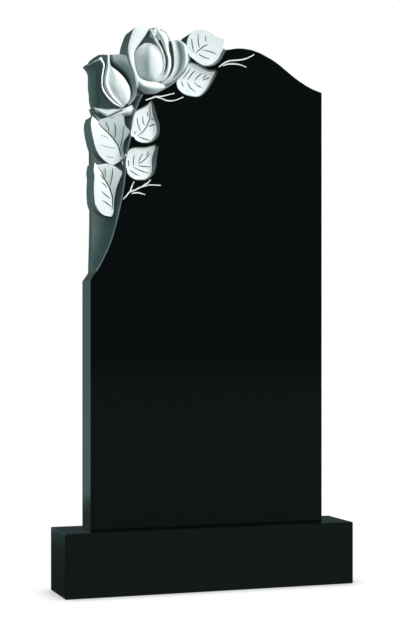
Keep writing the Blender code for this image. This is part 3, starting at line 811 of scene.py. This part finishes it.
# %% Guide lines of the upper rose
UPPER_ROSE = {
    # tall petal that closes the upper rose on its left and runs down beside the lower one
    "upper_left_petal": (
        ((118, 466, 14), (113, 486, 7), (107, 505, 5), (100, 521, 4), (95, 539, 3),
         (94, 561, 2.6), (100, 585, 3.6), (110, 608, 5), (124, 617.5, 8.3)),
        ((124, 472, 12), (118, 489, 6), (110, 507, 4), (103, 523, 3), (99, 540, 2),
         (100, 561, 2), (108, 583, 3), (119, 604, 4), (132, 617.5, 8)),
        ((133, 480, 13), (121, 492, 9), (113, 510, 7), (108, 530, 6), (108, 553, 6),
         (117, 572, 6), (129, 590, 7), (138, 604, 8), (144, 614, 10)),
        ((137, 483, 15), (125, 494, 16), (117, 513, 17), (114, 535, 18), (116, 555, 18),
         (126, 570, 18), (137, 586, 17), (146, 600, 15), (151, 610, 13)),
    ),
    # short petal under the upper bud
    "upper_foot_petal": (
        ((118, 497, 14), (131, 488, 11), (145, 484, 10), (161, 483, 11), (176, 482, 13), (191, 476, 16)),
        ((118, 481, 12), (130, 472, 5), (145, 468, 3), (161, 468, 4), (176, 470, 8), (192, 473, 16)),
        ((124, 469, 24), (131, 461, 20), (145, 454, 18), (163, 454, 18), (178, 460, 19), (194, 471, 22)),
    ),
    # closed heart of the upper rose, with a lip, a hollow and a round belly
    "upper_bud": (
        ((154, 482, 14), (132, 487, 19), (117, 504, 26), (111, 525, 29),
         (112, 545, 28.5), (120, 563, 25), (135, 576, 21), (153, 579, 20)),
        ((154, 482, 14), (137, 490, 15), (125, 506, 20), (121, 525, 22),
         (122, 544, 22), (129, 559, 20.5), (140, 571, 19), (153, 579, 20)),
        ((154, 482, 14), (142, 491, 10.5), (135, 507, 12.5), (133, 525, 13.5),
         (134, 544, 13.5), (139, 558, 15), (145, 570, 17.5), (153, 579, 20)),
        ((154, 482, 14), (149, 492, 5), (147, 507, 2.5), (146, 524, 1.5),
         (147, 542, 2.5), (148, 556, 7), (150, 569, 14), (153, 579, 20)),
        ((154, 482, 14), (158, 491, 4), (160, 506, 1), (161, 524, 0.6),
         (160, 542, 1), (158, 557, 6), (155, 569, 13), (153, 579, 20)),
        ((154, 482, 14), (166, 490, 8), (173, 505, 5), (175, 524, 4),
         (173, 543, 5), (168, 559, 9), (160, 571, 15), (153, 579, 20)),
        ((154, 482, 14), (172, 488, 13), (185, 503, 13), (190, 524, 14),
         (188, 547, 14), (179, 563, 15), (166, 574, 17), (153, 579, 20)),
    ),
    # petal standing behind the upper bud
    "upper_back_petal": (
        ((123, 554, 30), (133, 574, 29), (143, 594, 27), (152, 613, 24)),
        ((147, 553, 24), (148, 573, 24), (150, 593, 23), (154, 614, 20)),
        ((188, 552, 18), (175, 572, 18), (164, 592, 17), (157, 613, 16)),
    ),
    # small fold on top of the upper rose
    "upper_top_fold": (
        ((147, 596, 20), (151, 606, 14), (156, 613, 10)),
        ((157, 590, 14), (160, 602, 7), (163, 614, 7)),
        ((166, 585, 16), (169, 598, 12), (172, 611, 9)),
        ((174, 584, 13), (178, 597, 6), (181, 610, 7)),
        ((184, 583, 14), (190, 593, 10), (195, 603, 10)),
    ),
    # thin rim that wraps the upper bud on its right
    "upper_inner_rim": (
        ((148, 610, 12), (157, 592, 12), (167, 576, 12), (176, 559, 12),
         (182, 541, 12), (182, 523, 13), (176, 506, 14), (163, 493, 15)),
        ((152, 610, 7), (160, 591, 4), (170, 575, 3), (179, 558, 3),
         (185, 539, 3), (185, 520, 4), (179, 502, 6), (165, 490, 10)),
        ((156, 611, 12), (165, 594, 12), (175, 578, 12), (185, 561, 13),
         (191, 541, 13), (191, 521, 14), (184, 502, 15), (167, 488, 16)),
    ),
    # broad petal outside that rim
    "upper_right_petal": (
        ((158, 612, 12), (169, 592, 12), (179, 577, 12), (189, 559, 12), (195, 541, 12),
         (194, 523, 13), (187, 506, 14), (173, 491, 15), (158, 486, 17)),
        ((171, 611, 8), (181, 593, 3), (187, 576, 3), (192, 558, 4), (197, 539, 5),
         (197, 521, 6), (193, 506, 8), (179, 489, 11), (162, 482, 15)),
        ((186, 608, 12), (201, 593, 12), (200, 575, 12), (202, 559, 13), (206, 541, 14),
         (206, 524, 15), (201, 506, 16), (188, 488, 17), (166, 480, 20)),
    ),
    # open bowl-shaped petal at the far right of the upper rose
    "upper_outer_petal": (
        ((202, 586, 18), (206, 574, 17), (209, 559, 16.5), (211, 544, 16.5),
         (211, 526, 17), (206, 509, 18), (195, 495, 20), (181, 483, 26)),
        ((209, 588, 18), (213, 575, 17.5), (216, 560, 17.5), (217, 545, 17.5),
         (216, 526, 17.5), (210, 509, 18), (198, 494, 21), (182, 482, 26)),
        ((217, 590, 18), (223, 577, 17.5), (227, 561, 17.5), (228, 544, 17.5),
         (226, 526, 17.5), (218, 508, 18), (204, 491, 21), (184, 481, 26)),
        ((223, 591, 16), (231, 578, 9), (234, 561, 6), (235, 542, 5),
         (232, 524, 6), (224, 506, 10), (208, 490, 16), (187, 480, 26)),
        ((228, 591, 15), (237, 578, 6), (240, 560, 3), (241.5, 541, 2),
         (238, 523, 3), (229, 505, 7), (212, 489, 15), (189, 478, 26)),
        ((231, 590, 17), (244, 577, 9), (247, 560, 7), (248.5, 541, 6),
         (244.5, 522, 7), (235, 504, 11), (217, 487, 17), (193, 476, 27)),
    ),
}
print("upper rose:", len(UPPER_ROSE), "petals")

# %% Guide lines of the lower rose
LOWER_ROSE = {
    # big petal that rolls over the left edge of the stone and ends in a curled tip
    "lower_left_petal": (
        ((21, 422, 50), (17, 437, 50), (16, 453, 50), (14, 470, 50),
         (14, 487, 50), (13.5, 500, 48), (10.5, 509, 45), (1, 521, 42)),
        ((27, 413, 38), (21, 429, 34), (18, 446, 34), (16, 464, 34),
         (16, 484, 33), (16, 499, 32), (13, 509, 30), (5, 521, 30)),
        ((46, 409, 28), (29, 426, 22), (21.5, 443, 20), (18.5, 461, 20),
         (17.5, 481, 19), (17.5, 499, 18), (16, 511, 17), (8, 523, 18)),
        ((66, 411, 20), (45, 430, 13), (32, 446, 11), (24, 462, 10.5),
         (22.5, 480, 10.5), (24, 498, 10), (24, 513, 9.5), (15, 527, 12)),
        ((82, 417, 15), (59, 424, 6), (39, 442, 4), (29, 459, 3),
         (27, 478, 2), (29, 497, 2), (32, 515, 3), (23, 531, 7)),
        ((86, 419, 19), (63, 428, 11), (44, 445, 9), (34, 461, 8),
         (32, 479, 7), (34, 498, 7), (37, 517, 8), (29, 535, 10)),
    ),
    # small hollow fold between that petal and the lower bud
    "lower_back_fold": (
        ((10, 520, 46), (17, 536, 42), (28, 544, 36)),
        ((21, 515, 26), (25, 531, 26), (30, 543, 26)),
        ((36, 507, 22), (36, 527, 21), (37, 543, 20)),
        ((49, 507, 18), (49, 527, 17), (48, 542, 16)),
    ),
    # closed heart of the lower rose
    "lower_bud": (
        ((85, 418, 14), (67, 427, 14), (51, 440, 13), (39, 457, 12), (35, 475, 12),
         (37, 494, 12), (41, 511, 12), (43, 525, 12), (44, 541, 12)),
        ((85, 418, 14), (69, 428, 7), (54, 441, 4), (43, 458, 2), (38, 475, 1),
         (40, 493, 1), (44, 510, 2), (44, 525, 4), (45, 541, 8)),
        ((85, 418, 14), (72, 431, 8), (58, 445, 7), (49, 461, 6), (44, 477, 6),
         (46, 494, 6), (48, 508, 6), (46, 522, 6), (46, 541, 8)),
        ((85, 418, 14), (80, 435, 6), (71, 450, 3), (65, 463, 1), (63, 476, 1),
         (62, 489, 2), (57, 503, 4), (49, 520, 6), (47, 541, 8)),
        ((85, 418, 14), (92, 432, 8), (92, 447, 5), (88, 463, 4), (81, 477, 4),
         (73, 490, 5), (63, 502, 6), (50, 519, 8), (48, 541, 9)),
        ((85, 418, 14), (99, 435, 14), (103, 453, 14), (99, 470, 14), (90, 485, 14),
         (78, 498, 14), (66, 507, 13), (52, 517, 12), (50, 541, 11)),
    ),
    # hollow petal between the two roses
    "lower_right_petal": (
        ((50, 543, 20), (55, 525, 26), (69, 514, 30), (84, 504, 32), (96, 491, 32),
         (104, 476, 32), (107, 459, 30), (104, 445, 28), (92, 429, 22)),
        ((66, 545, 20), (71, 531, 19), (86, 520, 19), (98, 506, 19), (107, 491, 19),
         (110, 475, 19), (111, 460, 18), (106, 444, 18), (95, 428, 19)),
        ((80, 546, 18), (86, 532, 15), (97, 518, 14), (105, 503, 13), (112, 489, 12.5),
         (115, 474, 12), (115, 458, 12), (110, 442, 13), (98, 426, 17)),
        ((96, 544, 20), (101, 530, 15), (108, 514, 12), (114, 500, 11), (117, 486, 10),
         (118, 472, 10), (117, 455, 10), (112, 439, 12), (100, 424, 17)),
    ),
    # rolled petal under the lower bud
    "lower_rolled_petal": (
        ((41, 388, 24), (52, 397, 19), (65, 405, 16), (81, 413, 14), (95, 419, 13), (107, 425, 16)),
        ((43, 383, 22), (54, 390, 13), (68, 398, 9), (84, 404, 7), (98, 409, 7), (111, 416, 14)),
        ((49, 381, 26), (59, 385, 21), (73, 392, 18), (89, 397, 17), (102, 400, 17), (113, 409, 20)),
    ),
    # petal tucked between the bud and the roll
    "lower_under_petal": (
        ((16, 418, 38), (30, 415, 31), (45, 414, 26), (61, 416, 21), (81, 420, 18)),
        ((19, 412, 30), (30, 406, 22), (44, 401, 17), (61, 408, 18), (81, 415, 17)),
        ((20, 407, 36), (32, 399, 30), (44, 389, 24), (60, 398, 22), (79, 410, 20)),
    ),
    # small round leaf end under the roll
    "lower_sepal": (
        ((13, 393, 34), (21, 396, 28), (35, 388, 26), (47, 382, 26)),
        ((13, 388, 32), (22, 384, 21), (34, 381, 21), (47, 381, 25)),
        ((18, 383, 34), (26, 377, 28), (35, 377, 27), (48, 380, 28)),
    ),
}
print("lower rose:", len(LOWER_ROSE), "petals")

# %% [markdown]
# Most petals are frosted all over, and a few that face away from the lamps are painted in shade all over.
# Some have a strip of another colour along an edge or a crease: a gap, an edge or a crease is painted dark as
# its shade, and a rim that catches the light keeps the frosted colour as a painted highlight. Such a strip is
# named by its first and last row and its first and last column on the grid. A sheet has 56 rows, and 10
# columns between one guide line and the next.

# %% Finish of the petals
PETAL_ALONG = 56
PETAL_ACROSS = 10
# painted shade: whole petals that face away from the lamps are coloured darker instead of being shaded by them
PETAL_SHADE = {
    "upper_back_petal": PAINTED_SHADE,
    "lower_right_petal": HALF_SHADE,
    "lower_left_petal": PAINTED_SHADE,
    "lower_back_fold": PAINTED_SHADE,
    "lower_sepal": PAINTED_SHADE,
}
# strips of painted shade and painted shadow along gaps, creases and edges, and frosted rims kept as painted
# highlights
SHADE_AND_HIGHLIGHT_STRIPS = {
    "lower_left_petal": ((FROSTED, 0, 56, 40, 50), (FROSTED, 54, 56, 0, 50)),
    "lower_rolled_petal": ((PAINTED_SHADE, 0, 34, 0, 5),),
    "lower_under_petal": ((PAINTED_SHADE, 8, 50, 15, 20),),
    "lower_right_petal": ((GAP_SHADOW, 0, 52, 0, 3), (PAINTED_SHADE, 0, 56, 3, 6), (FROSTED, 16, 56, 27, 30)),
    "upper_left_petal": ((GAP_SHADOW, 4, 56, 27, 30),),
    "upper_bud": ((GAP_SHADOW, 6, 50, 0, 2),),
    "upper_inner_rim": ((GAP_SHADOW, 6, 56, 18, 20),),
    "upper_right_petal": ((GAP_SHADOW, 10, 56, 0, 3), (WALL, 0, 22, 18, 20)),
    "upper_top_fold": ((PAINTED_SHADE, 0, 56, 0, 4), (PAINTED_SHADE, 52, 56, 0, 40), (PAINTED_SHADE, 0, 56, 17, 21)),
    "upper_outer_petal": ((GAP_SHADOW, 0, 56, 0, 7), (HALF_SHADE, 4, 44, 21, 28)),
}
print("strips of another finish:", sum(len(strips) for strips in SHADE_AND_HIGHLIGHT_STRIPS.values()))

# %% [markdown]
# A petal ends just inside the back of the slab, each one a hair further in than the one before, because two
# faces in one plane would flicker. Its veins are gouged out last. The ridges beside furrows stay separate.

# %% Petals
INSIDE_BACK = 0.0002
HAIR = 0.00002
RIDGE_OFFSET = 2.4


def carve(name, guides, along, across, bend, number):
    """One petal or leaf standing out of the stone, and the ridges on it."""
    sheet = lay_sheet(name, guides, along, across, bend)
    gouges = vein_gouges(sheet, name) if name in VEINS else None
    beside = [([(right - RIDGE_OFFSET, up) for right, up in furrow], "ridge")
              for furrow in FURROWS.get(name, ())]
    ridges = tubes_on(sheet, beside) if beside else None
    make_solid(sheet, back - INSIDE_BACK - HAIR * number, PETAL_SHADE.get(name, FROSTED), WALL)
    # paint the strips of shade, shadow and highlight
    for finish, first_row, last_row, first_column, last_column in SHADE_AND_HIGHLIGHT_STRIPS.get(name, ()):
        for polygon in sheet.data.polygons:
            row, column = divmod(polygon.index, across)
            if first_row <= row < last_row and first_column <= column < last_column:
                polygon.material_index = finish
    if gouges:
        combine(sheet, gouges, "DIFFERENCE")
    return [sheet, ridges] if ridges else [sheet]


def join(name, solids):
    """Put several solids in one object and shade them."""
    pick(*solids)
    bpy.ops.object.join()
    joined = bpy.context.object
    joined.name = joined.data.name = name
    bpy.ops.object.shade_smooth_by_angle(angle=math.radians(40))
    print(name, "has", len(joined.data.polygons), "faces")
    return joined


def rose(name, petals):
    """Carve all petals of a rose."""
    solids = []
    for number, (petal, guides) in enumerate(petals.items()):
        across = PETAL_ACROSS * (len(guides) - 1)
        solids += carve(petal, guides, PETAL_ALONG, across, through, number)
    return join(name, solids)


upper_rose = rose("upper_rose", UPPER_ROSE)
lower_rose = rose("lower_rose", LOWER_ROSE)

# %% [markdown]
# ## Hanging leaves
# Two leaves hang down the left edge, each folded along its midrib like an open book. Their halves are almost
# flat, so here straight lines join the guides and the fold stays crisp. Two short stems join the leaves.

# %% Guide lines of the hanging leaves
HANGING_LEAVES = {
    # upper hanging leaf, folded along its midrib
    "leaf_a": (
        ((8, 393, 14), (4, 378, 12), (5, 359, 10), (9, 339, 10), (15, 319, 11),
         (24, 302, 13), (39, 288, 15), (60, 279, 18), (84, 292, 22)),
        ((22, 384, 21), (30, 371, 20), (42, 360, 19), (54, 350, 19), (63, 339, 19),
         (71, 329, 19), (76, 318, 19), (79, 305, 19.5), (87, 294, 20)),
        ((39, 390, 18), (64, 397, 12), (83, 397, 8), (87, 374, 6), (99, 361, 5),
         (95, 350, 7), (86, 336, 9), (84, 317, 12.5), (89, 296, 18)),
    ),
    # lower hanging leaf, folded along its midrib
    "leaf_b": (
        ((13, 282, 11), (10, 264, 8), (11.5, 248, 7), (10.5, 228, 7), (10.5, 208, 7),
         (13.5, 183, 8), (23, 166, 9), (37, 156, 11), (53, 154, 14)),
        ((20, 277, 19), (28, 265, 17), (35, 252, 16), (42, 237, 16), (50, 225, 16),
         (55, 211, 15.5), (58, 199, 15), (59, 180, 14.5), (57, 155, 15)),
        ((43, 281, 17), (59, 277, 12.5), (72, 268, 8), (80, 260, 6.5), (74, 243, 8),
         (67, 223, 10), (63.5, 205, 12.5), (61.5, 188, 14), (61, 164, 15.5)),
    ),
}

# %% Hanging leaves
LEAF_ALONG = 60
LEAF_ACROSS = 16
STEM_STEPS = 8
STEMS = (
    (((88, 302, 2), (85, 295, 9), (80.5, 293, 17)), 0.0021),
    (((82, 289, 18), (84, 283, 17.5), (86.5, 275, 16)), 0.0013),
)
stems = []
for line, radius in STEMS:
    path = [spray_place(*point) for point in through(line, STEM_STEPS)]
    stems.append(tube("stem", path, [radius] * len(path), FROSTED))
leaves = []
for number, (name, guides) in enumerate(HANGING_LEAVES.items()):
    solids = carve(name, guides, LEAF_ALONG, LEAF_ACROSS * (len(guides) - 1), straight, number)
    leaves.append(join(name, solids + (stems if name == "leaf_a" else [])))

# %% [markdown]
# ## Base block
# The base is a plain polished block. The solid model already has its exact shape, so it stays as it is and
# only gets its finish, the same polish as the upright stone.

# %% Base finish
plinth = granite("polished granite base", (0.0016, 0.0022, 0.0020), (0.0062, 0.0078, 0.0072),
                 (0.05, 0.12), 0.15)
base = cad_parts["base"]
for slot in base.material_slots:
    slot.material = plinth
print("base has", len(base.material_slots), "finish")

# %% [markdown]
# ## Finish
# Every piece rides on the stone's one body and takes its finish from the carved stone, and the solid model's
# upright stone is hidden. The top of each piece is printed.

# %% Finish
pieces = [stele, upper_rose, lower_rose] + leaves
for piece in pieces:
    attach(piece, "root")
    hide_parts("stele")
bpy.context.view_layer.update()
for piece in pieces:
    print(piece.name, "top", round(max(vertex.co.z for vertex in piece.data.vertices), 5))
